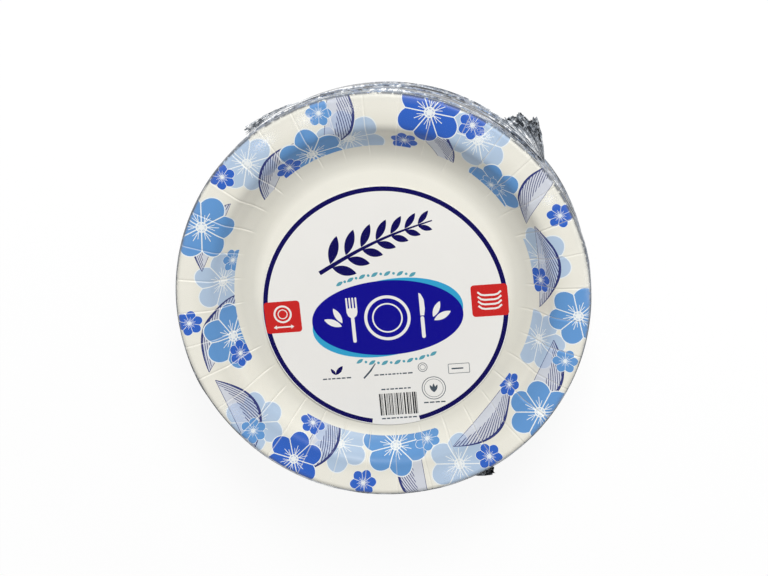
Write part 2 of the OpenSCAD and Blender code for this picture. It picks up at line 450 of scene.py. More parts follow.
def printedBoard():
    # clay-coated board with a flexo print in three blues, which gives crisp flat fields and lines
    material, tree, coordinate = newMaterial("printedCoatedBoard")
    colour = inks["board"]
    blank, crease, _ = split(readMarks(tree, "blankPlace"))
    printed = calc("GREATER_THAN", blank, topPlate["printStart"])
    blossom, leaf = blossomGroup(), leafGroup()
    for name in ("backBlossoms", "leaves", "broadBlossoms", "smallBlossoms"):
        kind = leaf if name == "leaves" else blossom
        masks = addNode(tree, "Group", [readMarks(tree, name)], node_tree=kind).outputs
        if kind == leaf:
            wash = times(masks["Wash"], topPlate["washShare"])
            steps = [(wash, inks["wash"]), (masks["Line"], inks["line"])]
        else:
            tone = colourRamp(masks["Tone"], [
                (0.0, inks["pale"]), (0.33, inks["mid"]), (0.66, inks["royal"])], "CONSTANT")
            steps = [(masks["Halo"], inks["white"]), (masks["Petal"], tone),
                     (masks["Line"], inks["white"])]
        for mask, ink in steps:
            colour = blend(times(mask, printed), colour, ink)
    # painted shade: the board's colour is painted greyer at the foot of the wall and at the shoulder
    levels = [(at, (1, 1, 1, 1)) for at in topPlate["paintedShadeEnds"]]
    levels += [(at, (level, level, level * 0.99, 1)) for at, level in topPlate["paintedShadeLevels"]]
    paintedShade = colourRamp(remap(blank, *topPlate["paintedShadeSpan"]), levels)
    colour = blend(1.0, colour, paintedShade, "MULTIPLY")
    # one flank of each crease is painted paler: pressed print, and partly a painted highlight
    colour = blend(times(crease, topPlate["creaseWearAndHighlight"]), colour, inks["wornAndLitInk"])
    coatedFinish(tree, coordinate, colour, boardLook, boardLook["gloss"], boardLook["shine"])
    return material


def buildTopPlate():
    upper = plateSection(0.0, 3)
    under = plateSection(stack["board"], 1)
    lip = stack["lipArc"]
    a = math.radians(90 - stack["lipSlope"])
    middle = lip[2] - stack["board"] / 2
    bulge = topPlate["edgeBulge"]
    edge = np.array([[lip[0] + middle * math.cos(a) + bulge * math.sin(a),
                      lip[1] + middle * math.sin(a) - bulge * math.cos(a)]])
    section = np.concatenate([upper, edge, under[::-1]])
    columns = creaseColumns()
    tangent = tangents(section)
    normal = np.stack([-tangent[:, 1], tangent[:, 0]], -1)
    length = np.concatenate([[0], np.cumsum(np.linalg.norm(np.diff(upper, axis=0), axis=1))])
    underLength = np.interp(under[:, 0], upper[:, 0], length)
    blank = np.concatenate([length, [length[-1]], underLength[::-1]])
    isUpper = np.concatenate([np.ones(len(upper)), [0.5], np.zeros(len(under))])

    pitch = 2 * math.pi / topPlate["creases"]
    draw = np.random.default_rng(7)
    first, spread = topPlate["creaseStart"]
    start = first + draw.uniform(0, spread, topPlate["creases"])
    strength = draw.uniform(*topPlate["creaseStrength"], topPlate["creases"])
    phase = (columns - math.radians(topPlate["firstCrease"])) / pitch
    index = np.round(phase).astype(int) % topPlate["creases"]
    away = (phase - np.round(phase)) * pitch * section[:, :1]  # mm from the crease, rings by columns
    grown = np.clip((blank[:, None] - start[index][None]) / topPlate["creaseRun"], 0, 1)
    grown = grown * grown * (3 - 2 * grown) * strength[index][None]
    half = topPlate["creaseHalfWidth"]
    groove, fold = bell(away / half), bell(away / half - 1.5)
    between = np.cos(2 * math.pi * phase)[None]
    press = (topPlate["creaseBank"] * fold - topPlate["creaseDepth"] * groove
             - topPlate["waves"] * between * 0.5) * grown
    press = np.where(isUpper[:, None] > 0.6, press, press * topPlate["underShare"])
    # the normal points up from the upper face and down from the underside, where the push turns round
    side = np.where(isUpper > 0.6, 1.0, -1.0)[:, None]
    radius = section[:, :1] + normal[:, :1] * press * side
    height = section[:, 1:] + normal[:, 1:] * press * side + stack["topFloor"]
    radius[0] = radius[-1] = 0.0
    points, quads, fans = ringGrid(columns, radius, height)
    faces = quads.tolist() + fans.tolist()
    piece = makePiece("topPlate", points, faces, [printedBoard()])

    # the blank's own plane: radius there is the length along the section
    flatX, flatY = blank[:, None] * np.cos(columns), blank[:, None] * np.sin(columns)
    flat = np.stack([flatX, flatY], -1)[1:-1].reshape(-1, 2)
    flat = np.concatenate([flat, [[0, 0], [0, 0]]])
    up = np.broadcast_to(isUpper[:, None], radius.shape)[1:-1].ravel()
    up = np.concatenate([up, [1.0, 0.0]])
    # the paler flank of each crease: pressed print, and partly a painted highlight
    wornAndLitCrease = (bell((away - 0.5 * half) / (0.45 * half)) * grown)[1:-1].ravel()
    wornAndLitCrease = np.concatenate([wornAndLitCrease, [0, 0]]) * (up > 0.6)
    place = np.stack([np.linalg.norm(flat, axis=1), wornAndLitCrease, up], -1)
    writeMarks(piece, "blankPlace", "POINT", place)

    quadCorners = flat[quads]
    printed = (up[quads].min(1) > 0.4) & (np.linalg.norm(quadCorners, axis=-1).max(1) > 70)
    loops = len(piece.data.loops)
    for name, (*layout, tones) in topPlate["motifs"].items():
        centre, size, turn = layMotifs(*layout)
        tone = np.resize(tones, len(size))
        values = paintMotifs(quadCorners, printed, centre, size, turn, tone).reshape(-1, 3)
        rest = np.full((loops - len(values), 3), offPrint)
        rest[:, 2] = 0.0
        writeMarks(piece, name, "CORNER", np.concatenate([values, rest]))
    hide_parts("plate_40")
    print("top plate", len(quads) * 2 + len(fans), "triangles")


buildTopPlate()

# The plates below it keep their CAD shapes and only get a finish
nestedPlates = {
    "patches": (70.0, 70.0, 0.0),  # per metre: patches of 14 mm in the plane
    "layerStep": 0.2,  # how far the patches of one plate differ from the next plate's
    "patchInks": ((0.0, "mid"), (0.42, "board"), (0.54, "pale"), (0.6, "royal"), (0.66, "pale")),
    "lipFrom": (0.1048, 0.1052),  # metres; the print shows on the turned-down lip only
    "cutEdge": (0.34, 0.4),  # share of each level up to which its plate's cut edge shows
}


def nestedBoard():
    # the same board seen at its lips: cream edges, each plate with its own patches of the blues
    material, tree, coordinate = newMaterial("nestedCoatedBoard")
    x, y, z = split(coordinate)
    flat = join(x, y, 0.0)
    radius = vectorMath("LENGTH", flat).outputs[1]
    pitch = stack["pitch"]
    level = times(z, 1000 / pitch, -stack["firstEdge"] / pitch)
    within = calc("FRACT", level)
    layer = times(calc("FLOOR", level), nestedPlates["layerStep"])
    layer = join(0.0, 0.0, layer)
    place = vectorMath("MULTIPLY_ADD", flat, nestedPlates["patches"], layer)
    blues = colourRamp(noise(place, 1.0, 1.0), [
        (at, inks[ink]) for at, ink in nestedPlates["patchInks"]], "CONSTANT")
    lip = times(remap(radius, *nestedPlates["lipFrom"]), remap(within, *nestedPlates["cutEdge"]))
    colour = blend(lip, inks["board"], blues)
    coatedFinish(tree, coordinate, colour, boardLook, boardLook["gloss"], boardLook["shine"])
    return material


nested = nestedBoard()
for number in range(1, stack["plates"]):
    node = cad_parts["plate_%02d" % number]
    for slot in node.material_slots:
        slot.material = nested
print("nested plates finished")


# The label card, with its print as faces of their own
label = {
    "radius": 65.998,
    "centre": (0.975, -7.94),
    "slideTurn": 7.0,  # from straight to the foot, towards +X
    "head": 57.998,  # where its head edge rests on the well's floor
    "tilt": 0.237,  # degrees, as its foot rests on the fillet
    "turn": 5.5,
    "thickness": 0.3,
    "gap": 0.1,  # over the well's floor
    "curl": 0.7,  # how far the card's edge lifts along its curl
    "curlTurn": 35.0,
    "ringOuter": 65.5,
    "ringWidth": 2.5,
    "ringGap": 23.0,
    "oval": (40.6, 20.6),
    "ovalPlace": (0.7, -5.7),
    "tabs": ((-55.3, -1.2), (55.7, 0.1)),
    "tabSize": (19.4, 17.4),
    "border": 0.25,  # rounded edge of the card
    "edgeDrop": 0.06,
    "inks": {"card": "#F3F1EC", "navy": "#0A0454", "deep": "#0D0890", "sky": "#35A5D2",
             "teal": "#5AA3B4", "red": "#D02826", "grey": "#4A5560", "black": "#1B1A20"},
}

# coated card: clouds of 17 mm and a grain of 0.4 mm; ink is smoother than bare card and shines less
cardLook = {
    "cloud": (60.0, 2.0),
    "tones": (0.975, 1.01),
    "grain": (2600.0, 2.0),
    "relief": (0.08, 0.00004),
    "bare": ((0.37, 0.47), {"Specular IOR Level": 0.16}),
    "inked": ((0.33, 0.43), {"Specular IOR Level": 0.06}),
}


def ellipsePoints(centre, axes, steps=96, turn=0.0, start=0.0, end=360.0):
    # centre + turned (a cos t, b sin t)
    full = end - start >= 360
    t = np.radians(np.linspace(start, end, steps, endpoint=not full))
    c, s = math.cos(math.radians(turn)), math.sin(math.radians(turn))
    x, y = axes[0] * np.cos(t), axes[1] * np.sin(t)
    return np.stack([centre[0] + x * c - y * s, centre[1] + x * s + y * c], -1)


def circle(centre, radius, steps=96):
    return ellipsePoints(centre, (radius, radius), steps)


def roundedBox(centre, size, corner):
    # four quarter arcs about the corners' centres
    half = np.array(size) / 2 - corner
    t = np.radians(np.linspace(0, 90, 5))
    parts = []
    for k, sign in enumerate(((1, 1), (-1, 1), (-1, -1), (1, -1))):
        a = t + k * math.pi / 2
        parts.append(np.stack([sign[0] * half[0] + corner * np.cos(a),
                               sign[1] * half[1] + corner * np.sin(a)], -1))
    return np.concatenate(parts) + centre


def ribbon(path, widths):
    # a closed outline round a path: each point moved to both sides by half its width
    path, widths = np.asarray(path, float), np.asarray(widths, float)
    tangent = tangents(path)
    side = np.stack([-tangent[:, 1], tangent[:, 0]], -1) * (widths / 2)[:, None]
    return np.concatenate([path + side, (path - side)[::-1]])


def leafOutline(tip, root, width):
    # a pointed leaf between two points: half width = width / 2 * sin(pi t) ^ 0.8
    t = np.linspace(0, 1, 13)
    root, tip = np.array(root, float), np.array(tip, float)
    axis = tip - root
    side = np.array([-axis[1], axis[0]]) / np.hypot(*axis)
    half = width / 2 * np.sin(math.pi * t) ** 0.8
    upper = root + axis * t[:, None] + side * half[:, None]
    lower = root + axis * t[:, None] - side * half[:, None]
    return np.concatenate([upper, lower[-2:0:-1]])


def cutlery(centre, height, kind):
    # a plain fork or knife, upright
    h = height / 24
    if kind == "knife":
        blade = np.array([[-0.9, 0], [-0.9, 12], [0.2, 11.4], [1.5, 8.4], [1.7, 3.6], [1.1, 0]]) * h
        handle = roundedBox((0, -6.2 * h), (1.9 * h, 11.6 * h), 0.9 * h)
        shapes = [blade, handle]
    else:
        shapes = [roundedBox((dx * h, 8.6 * h), (0.85 * h, 6.8 * h), 0.4 * h)
                  for dx in (-2.4, -0.8, 0.8, 2.4)]
        bowl = np.array([[-2.82, 6.4], [-2.82, 4.2], [-2.2, 2.4], [-0.9, 1.2],
                         [0.9, 1.2], [2.2, 2.4], [2.82, 4.2], [2.82, 6.4]]) * h
        shapes += [bowl[::-1], roundedBox((0, -5.2 * h), (1.8 * h, 13.6 * h), 0.85 * h)]
    return [shape + centre for shape in shapes]


def insideOutline(points, outline):
    # even-odd rule: how many edges a ray to the right of each point crosses
    x, y = points[:, :1], points[:, 1:]
    a, b = outline, np.roll(outline, -1, axis=0)
    crosses = (a[None, :, 1] > y) != (b[None, :, 1] > y)
    run = np.where(b[:, 1] == a[:, 1], 1.0, b[:, 1] - a[:, 1])
    where = a[:, 0] + (y - a[:, 1]) * (b[:, 0] - a[:, 0]) / run
    return (crosses & (x < where)).sum(1) % 2 == 1


def labelFields():
    # every printed field in order of printing, as (ink, outlines); outlines of one field cancel
    # where they overlap, so a ring is two circles
    fields = []

    def add(ink, *outlines):
        fields.append((ink, outlines))

    def rings(ink, centre, steps, *pairs):
        for outer, inner in pairs:
            add(ink, circle(centre, outer, steps), circle(centre, inner, steps))

    gap = label["ringGap"] / 2
    outer, inner = (ellipsePoints((0, 0), (radius, radius), 220, 0.0, -90 + gap, 270 - gap)
                    for radius in (label["ringOuter"], label["ringOuter"] - label["ringWidth"]))
    add("navy", np.concatenate([outer, inner[::-1]]))
    mid, drop = label["ovalPlace"]
    a, b = label["oval"]
    add("sky", ellipsePoints((mid, drop), (a + 0.5, b + 0.3), turn=8.0))
    add("deep", ellipsePoints((mid, drop), (a, b)))
    for centre in label["tabs"]:
        add("red", roundedBox(centre, label["tabSize"], 1.8))
    # a plate between fork and knife in the oval, with two leaves at each end
    rings("card", (mid, drop), 96, (12.4, 10.8), (8.2, 7.4))
    for x, kind in ((-18.6, "fork"), (18.6, "knife")):
        for shape in cutlery((mid + x, drop), 25, kind):
            add("card", shape)
    for side in (-1, 1):
        for *ends, width in (((34.0, 1.4), (24.8, -3.0), 3.6), ((28.6, 7.2), (24.4, -1.2), 3.2)):
            add("card", leafOutline(*((mid + side * x, drop + y) for x, y in ends), width))
    # a navy sprig above the oval: a bent stem with pairs of leaves that get smaller to its tip
    t = np.linspace(0, 1, 41)
    stem = np.stack([-33 + 62 * t, 21.3 + 24 * t + 2.6 * np.sin(math.pi * t)], -1)
    add("navy", ribbon(stem, 2.4 - 1.7 * t))
    for share in 1 - np.linspace(0.92, 0.173, 7) ** 1.15:
        at, ahead = (np.array([np.interp(where, t, line) for line in stem.T])
                     for where in (share, share + 0.03))
        if share > 0.95:
            ahead = at + np.array([1.0, 0.3])
        heading = math.atan2(*(ahead - at)[::-1])
        size = 17.5 * (1.05 - 0.55 * share)
        for side, reach in ((1, 1.0), (-1, 0.84)):
            lean = heading + side * math.radians(46 - 14 * share)
            tip = at + size * reach * np.array([math.cos(lean), math.sin(lean)])
            add("navy", leafOutline(tip, at + 0.1 * (tip - at), size * 0.3))
    # small leaves and dots that follow the oval above and below it
    for start, out in ((96, 3.7), (274, 4.4)):
        for k in range(-6, 7):
            turn = math.radians(start + 4.4 * k)
            x, y = mid + (a + out) * math.cos(turn), drop + (b + out) * math.sin(turn)
            if k % 2:
                add("teal", circle((x, y), 0.75, 14))
            else:
                add("teal", leafOutline((x + 1.9, y + 1.1), (x - 1.9, y - 1.1), 1.9))
    # small marks in a row under it: two leaves, a knife, rings, a box and a leaf in rings
    for tip, width in (((-26.0, -30.8), 2.5), ((-32.6, -32.0), 1.7)):
        add("navy", leafOutline(tip, (-30.2, -35.6), width))
    add("grey", ribbon([[-15.2, -38.6], [-11.2, -34.6], [-8.2, -30.6]], [0.9, 1.0, 0.5]))
    rings("grey", (17, -34.5), 30, (2.6, 2.25), (1.6, 1.35))
    frameAt = (36.4, -36.4)
    add("grey", roundedBox(frameAt, (11.6, 5.6), 0.5), roundedBox(frameAt, (11.0, 5.0), 0.3))
    add("grey", roundedBox((35.6, -36.4), (6.4, 0.8), 0.3))
    rings("grey", (22, -46.6), 48, (6.5, 6.1), (5.2, 4.95))
    for lean in np.radians((-35, 0, 35)).tolist():
        tip = (22 + 3.6 * math.sin(lean), -48.4 + 4.4 * math.cos(lean))
        add("grey", leafOutline(tip, (22, -49.0), 1.5))
    # rows of plain dashes beside the marks, each from x to end
    draw = np.random.default_rng(9)
    for x, y, end in ((-37.5, -37.6, -21.6), (-9.4, -37.2, 11.4), (-6.4, -45.6, 9.6),
                      (16.0, -54.6, 28.0), (-7.6, -62.2, 11.6)):
        while x < end - 0.8:
            width = min(float(draw.uniform(1.0, 2.6)), end - x)
            add("grey", roundedBox((x + width / 2, y), (width, 0.75), 0.2))
            x += width + 0.55
    # a plain block of bars at the foot
    draw = np.random.default_rng(3)
    x = -8.0
    while x < 12.4:
        width = float(draw.choice([0.28, 0.28, 0.55, 0.8]))
        add("black", np.array([[x, -48.0], [x + width, -48.0], [x + width, -60.4], [x, -60.4]]))
        x += width + float(draw.choice([0.3, 0.45, 0.7]))
    # white marks on the tabs: a plate over a double arrow, and a stack of plates
    left, right = np.array(label["tabs"])
    rings("card", (left[0], left[1] + 1.6), 40, (4.9, 3.9))
    rings("card", (left[0], left[1] + 1.6), 30, (2.7, 2.2))
    add("card", left + [[-5.6, -5.5], [-3.9, -4.4], [-3.9, -5.1], [3.9, -5.1], [3.9, -4.4],
                        [5.6, -5.5], [3.9, -6.6], [3.9, -5.9], [-3.9, -5.9], [-3.9, -6.6]])
    dish = np.array([[-6.2, 1.9], [-4.4, 0.4], [-2.6, 0.0], [2.6, 0.0], [4.4, 0.4], [6.2, 1.9]])
    for k in range(4):
        add("card", ribbon(dish + [right[0], right[1] - 4.6 + 2.5 * k], np.full(6, 1.0)))
    return fields


def cardFinish(name, code):
    # coated card with offset ink: a fine even grain and a low sheen, lower on the ink
    bare = name == "card"
    full = "labelCard" if bare else "labelInk" + name.capitalize()
    material, tree, coordinate = newMaterial(full)
    gloss, shine = cardLook["bare" if bare else "inked"]
    coatedFinish(tree, coordinate, hexToLinear(code), cardLook, gloss, shine)
    return material


def buildLabel():
    finishes = [cardFinish(name, code) for name, code in label["inks"].items()]
    fields = labelFields()
    border = label["border"]
    outlines = [circle((0, 0), label["radius"], 180), circle((0, 0), label["radius"] - border, 180)]
    outlines += [outline for _, group in fields for outline in group]
    points, edges, start = [], [], 0
    for outline in outlines:
        count = len(outline)
        points += outline.tolist()
        edges += [(start + i, start + (i + 1) % count) for i in range(count)]
        start += count
    # rings of points inside the card let it bend
    for radius in np.arange(3, 62, 3.5):
        points += circle((0, 0), radius, max(6, int(radius))).tolist()
    cut = delaunay_2d_cdt([Vector(p) for p in points], edges, [], 0, 1e-4)
    flat = np.array([tuple(v) for v in cut[0]])
    faces = np.array([f for f in cut[2] if len(f) == 3])
    corners = flat[faces]
    turned = np.cross(corners[:, 1] - corners[:, 0], corners[:, 2] - corners[:, 0]) < 0
    faces[turned] = faces[turned][:, ::-1]
    middle = flat[faces].mean(1)
    ink = np.zeros(len(faces), int)
    names = list(label["inks"])
    for name, group in fields:
        inside = np.zeros(len(faces), bool)
        for outline in group:
            inside ^= insideOutline(middle, outline)
        ink[inside] = names.index(name)
    # curl: the height grows with the square of the distance from the curl's own line
    c, s = math.cos(math.radians(label["curlTurn"])), math.sin(math.radians(label["curlTurn"]))
    across = (flat[:, 0] * c + flat[:, 1] * s) / label["radius"]
    lift = label["curl"] * across ** 2
    away = np.linalg.norm(flat, axis=1)
    soft = np.clip((away - (label["radius"] - border)) / border, 0, 1) * label["edgeDrop"]
    t, u = math.cos(math.radians(label["turn"])), math.sin(math.radians(label["turn"]))
    x = flat[:, 0] * t - flat[:, 1] * u + label["centre"][0]
    y = flat[:, 0] * u + flat[:, 1] * t + label["centre"][1]
    slide = math.radians(label["slideTurn"])
    ahead = y * math.cos(slide) - x * math.sin(slide)
    rise = (label["head"] - ahead) * math.tan(math.radians(label["tilt"]))
    floor = stack["topFloor"] + label["gap"] + rise
    top = np.stack([x, y, floor + label["thickness"] + lift - soft], -1)
    bottom = np.stack([x, y, floor + lift + soft], -1)
    count = len(flat)
    ways = dict.fromkeys((a, b) for face in faces.tolist() for a, b in zip(face, face[1:] + face[:1]))
    sides = [[b, a, a + count, b + count] for a, b in ways if (b, a) not in ways]
    allFaces = faces.tolist() + (faces[:, ::-1] + count).tolist() + sides
    piece = makePiece("labelCard", np.concatenate([top, bottom]), allFaces, finishes, smooth=False)
    slots = np.concatenate([ink, np.zeros(len(faces) + len(sides), int)])
    piece.data.polygons.foreach_set("material_index", slots)
    piece.data.update()
    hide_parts("label_card")
    print("label card", len(allFaces), "faces")


buildLabel()

# The shrink film
film = {
    "wallRadius": 108.35,
    "wallFoot": 15.1,
    "wallTop": 59.45,
    "seam": 37.275,
    "top": 61.15,
    "footArc": (69.598, 18.85, 18.85),
    "crestArc": (105.698, 58.15, 3.0),
    "columns": 600,
    "ridges": 170,  # tension creases of the wall
    "ridgeGather": (0.6, 16.0),  # share that lies near the corners, and how close in degrees
    "ridgeSpan": (6, 26),  # half length in degrees
    "ridgeWidth": (0.7, 1.8),
    "ridgeHeight": (0.1, 0.5),
    "rimLine": (107.7, 0.55),  # radius and half width of the painted shadow line on the rim
    "shadedTurn": 85.0,  # degrees; towards the head of the print, where that painted shadow shows most
    "glintBand": (101.5, 3.2),  # radius and half width of the band where crumples are painted as white glints
    "sag": 0.07,  # of the sheet over the well
    "sagWaves": ((3, 0.4, 0.05), (5, 2.1, 0.08), (8, 4.0, 0.11)),  # round it, phase, outwards
    # painted highlights of small crumples of the sheet on the rim: direction, half width in degrees
    # and strength
    "crumpleGlints": ((126, 3.5, 0.9), (112, 2.6, 0.8), (99, 2.2, 0.5), (59, 2.6, 0.7), (33, 1.6, 0.9),
                 (218, 3.0, 0.5), (292, 2.5, 0.5)),
}

# gathered corners: where the folds meet on the wall, how far they run along it and out from it,
# where the peak lies, bumps of the outline as (share, mm), and how light the bunched film is painted,
# a painted shade of each corner
earSizes = ("pivot", "length", "reach", "peak", "bumps", "rise", "pleats", "tone")
ears = [dict(zip(earSizes, row)) for row in (
    (39.6, 36.5, 15.2, 20.6, ((0.34, 0.8), (0.64, 1.7), (0.85, -1.0)), 3.0, 9.5, 0.0),
    (105.0, 50.0, 5.2, 46.6, ((0.4, 0.5), (0.8, 0.4)), 4.0, 6.5, 0.08),
    (211.5, 34.0, 9.0, 22.0, ((0.3, 1.2), (0.66, 1.8), (0.86, -0.8)), -2.0, 8.5, -0.03),
    (289.0, 28.0, 12.6, 21.5, ((0.4, 0.9), (0.7, 0.8)), 2.0, 9.5, -0.03))]

# what the gathered corners share
earForm = {
    "rows": 25,
    "columns": 97,
    "bumpWidth": 0.09,
    "ragged": (0.05, 0.14),  # how far the outline's steps cut in, along the wall and outwards
    "pleatHeight": 2.6,
    "wave": 1.3,
    "crumple": (0.7, 0.35, 0.35, 0.3),  # height of coarse and fine facets, their drift along and out
    "sunk": 0.15,  # how far inside the wall the folds start
    "halfFold": 0.14,
}

# scales are per metre, and shades are position, colour and how much the film hides; the shades are
# painted shade and highlights
filmLook = {
    "folds": (30.0, 30.0, 190.0),  # 30 mm long and 5 mm high
    "dashes": (380.0, 380.0, 160.0),  # 2.6 by 6 mm
    "dashShare": 0.42,
    "ridge": 0.07,  # painted highlight: how much lighter a tension crease is painted
    "contrast": (1.65, -0.39),
    # painted shade and reflections of the wall's folds, from near black to white
    "wallPaintedShadeAndGlints": ((0.41, "#1C2028", 0.95), (0.64, "#FFFFFF", 0.97), (0.445, "#454D5B", 0.8),
                   (0.485, "#6F7889", 0.75), (0.55, "#8E97A6", 0.7), (0.605, "#A9B1BD", 0.7)),
    "grain": (640.0, 2.0, 0.6),
    "grainBend": (0.0016, 0.0016, 0.0016),  # how far the grain bends the facets' edges
    # painted shade of the bunched corners: light and dark facets with dark edges
    "facets": 560.0,  # 1.8 mm
    "facetShade": (0.2, 0.41),
    "facetEdgeShade": (0.03, 0.12, -0.09, 0.0),
    "pleats": (26.0, 3.0, 0.0),
    "breakUp": (0.25, 0.55),  # where along a corner its pleats turn into facets
    # painted shade and glints of the bunched film, from near black to white
    "knotPaintedShadeAndGlints": ((0.38, "#14161A", 0.97), (0.60, "#FFFFFF", 0.97), (0.43, "#50565E", 0.88),
                   (0.48, "#8D939C", 0.8), (0.55, "#C6CCD2", 0.8)),
    # painted highlights: white lace where the film crumples on the rim
    "laceGlints": 850.0,  # cells of 1.2 mm
    "laceLine": (0.16, 0.05),
    "rimBreaks": (0.36, 0.48),
    "sheet": (0.05, 0.003),  # how much the flat sheet hides edge on, and squarely
    "squarely": (0.04, 0.36, 0.16),  # how the wall's folds fade where it is looked at squarely
    "edgeOn": (0.45, 0.8),  # where the wall is seen so edge on that it is painted darker
    "hides": {"vent": 0.6, "ridge": 0.3, "edgeOnShade": 0.45, "rim": 0.75, "laceGlints": 0.9},
    "edgeOnShadeTone": 0.75,
    "relief": (0.1, 0.0002),
    "shine": {"Roughness": 0.12, "IOR": 1.5, "Specular IOR Level": 0.12},
    "vent": (0.03182, 0.03182, 0.0),  # metres; one of four mirrored vents through the base
    "ventRadius": 0.0015,
    "ventEdge": (0.00175, 0.00025),  # middle and half width of its rolled edge
    # colour of the painted shadow line on the rim
    "rim": "#3E434D",
    # colour of the painted shade where the wall is seen edge on
    "edgeOnShade": "#444A55",
    "clear": "#E4EAF0",
}


def clearFilm():
    # clear polyolefin film shrunk taut: nearly invisible where flat; its grey and white folds round
    # the wall, white lace where it creeps on the rim, and black and white where it is bunched are
    # painted shade and highlights
    look = filmLook
    material, tree, coordinate = newMaterial("clearShrinkFilm")
    ridge, crumple, wall = split(readMarks(tree, "creasing"))
    bunch = readMarks(tree, "bunching")
    across, out, line = split(bunch)
    facing = addNode(tree, "LayerWeight", {"Blend": 0.2}).outputs["Facing"]

    def shades(value, steps):
        return colourRamp(value, [
            (at, hexToLinear(code)[:3] + (cover,)) for at, code, cover in steps]).outputs

    # wall, painted shade and reflections: dark, grey and white streaks of long folds broken by dashes
    folds = noise(vectorMath("MULTIPLY", coordinate, look["folds"]), 1.0, 3.0, 0.6)
    dashes = noise(vectorMath("MULTIPLY", coordinate, look["dashes"]), 1.0, 3.0, 0.65)
    fold = addNode(tree, "Mix", {0: look["dashShare"], 2: folds, 3: dashes})
    # painted highlight: tension creases are painted a little lighter
    fold = times(ridge, look["ridge"], fold)
    wallColour, wallCover = shades(times(fold, *look["contrast"]), look["wallPaintedShadeAndGlints"])
    # bunched corners, painted shade and glints: fine light and dark pleats from the pivot, which break
    # up further out into lit and shaded facets with painted dark edges; both are painted darker
    # further across the corner
    grain = noise(coordinate, *look["grain"])
    bent = vectorMath("MULTIPLY_ADD", grain.outputs["Color"], look["grainBend"], coordinate)
    cells = {"Vector": bent, "Scale": look["facets"]}
    facet = addNode(tree, "SeparateColor", [addNode(tree, "TexVoronoi", cells).outputs["Color"]])
    facetEdgeShade = addNode(tree, "TexVoronoi", cells, feature="DISTANCE_TO_EDGE")
    paintedFacetShade = calc("ADD", times(facet, *look["facetShade"]), remap(facetEdgeShade, *look["facetEdgeShade"]))
    pleat = noise(vectorMath("MULTIPLY", bunch, look["pleats"]), 1.0, 2.0, 0.6)
    broken = times(out, times(across, 0.6, 0.4))
    broken = remap(broken, *look["breakUp"])
    knot = addNode(tree, "Mix", {0: broken, 2: calc("ADD", pleat, 0.03), 3: paintedFacetShade})
    knot = times(across, -0.07, knot)
    knot = calc("ADD", knot, calc("ADD", line, 0.035))
    knotColour, knotCover = shades(knot, look["knotPaintedShadeAndGlints"])
    bunched = calc("GREATER_THAN", out, 0.001)
    # lace: painted highlights, white lines round small cells where the film crumples on the rim
    laceGlints = addNode(tree, "TexVoronoi", {"Vector": coordinate, "Scale": look["laceGlints"]},
                   feature="DISTANCE_TO_EDGE")
    laceGlints = times(remap(laceGlints, *look["laceLine"]), crumple, clamp=True)
    # painted shadow: a dark line where the film turns over the rim, broken by the folds
    onSheet = calc("SUBTRACT", 1.0, bunched)
    rim = times(remap(dashes, *look["rimBreaks"]), times(line, onSheet))
    hides = look["hides"]
    base = times(facing, *look["sheet"])
    # clear round vents through the base, each with a rolled edge
    fromVent = vectorMath("DISTANCE", vectorMath("ABSOLUTE", coordinate), look["vent"])
    fromVent = fromVent.outputs["Value"]
    base = times(calc("COMPARE", fromVent, *look["ventEdge"]), hides["vent"], base)
    base = times(base, calc("GREATER_THAN", fromVent, look["ventRadius"]))
    # looked at squarely the wall is clear and shows the plates' edges, and only its ridges stay grey
    slanting = remap(facing, *look["squarely"])
    slanting = times(ridge, hides["ridge"], slanting, clamp=True)
    cover = times(wallCover, slanting)
    cover = times(cover, wall, base)
    # edge on, painted shade: the folds, which lie over one another there, are painted darker
    edgeOnShade = times(remap(facing, *look["edgeOn"]), wall)
    cover = times(edgeOnShade, hides["edgeOnShade"], cover)
    cover = times(rim, hides["rim"], cover)
    cover = times(laceGlints, hides["laceGlints"], cover, clamp=True)
    cover = addNode(tree, "Mix", {0: bunched, 2: cover, 3: knotCover})
    # the wall's painted shade and reflections, then the painted edge-on shade, the painted rim shadow,
    # the painted lace highlights and the bunched corners' painted shade
    colour = blend(wall, hexToLinear(look["clear"]), wallColour)
    for share, over in ((times(edgeOnShade, look["edgeOnShadeTone"]), hexToLinear(look["edgeOnShade"])),
                        (rim, hexToLinear(look["rim"])), (laceGlints, (1, 1, 1, 1)),
                        (bunched, knotColour)):
        colour = blend(share, colour, over)
    finishSurface(tree, {"Base Color": colour, "Alpha": cover,
                         "Normal": relief(grain, *look["relief"]), **look["shine"]})
    return material


def facets(draw, rows, cols, stepO, stepA):
    # a seeded field that is straight between coarse knots, which gives crumpled facets and no fuzz
    knots = draw.normal(0, 1, (rows // stepO + 2, cols // stepA + 2))
    o, a = np.arange(rows) / stepO, np.arange(cols) / stepA
    i, j = o.astype(int), a.astype(int)
    u, v = (o - i)[:, None], (a - j)[None]
    return ((1 - u) * (1 - v) * knots[i][:, j] + u * (1 - v) * knots[i + 1][:, j]
            + (1 - u) * v * knots[i][:, j + 1] + u * v * knots[i + 1][:, j + 1])


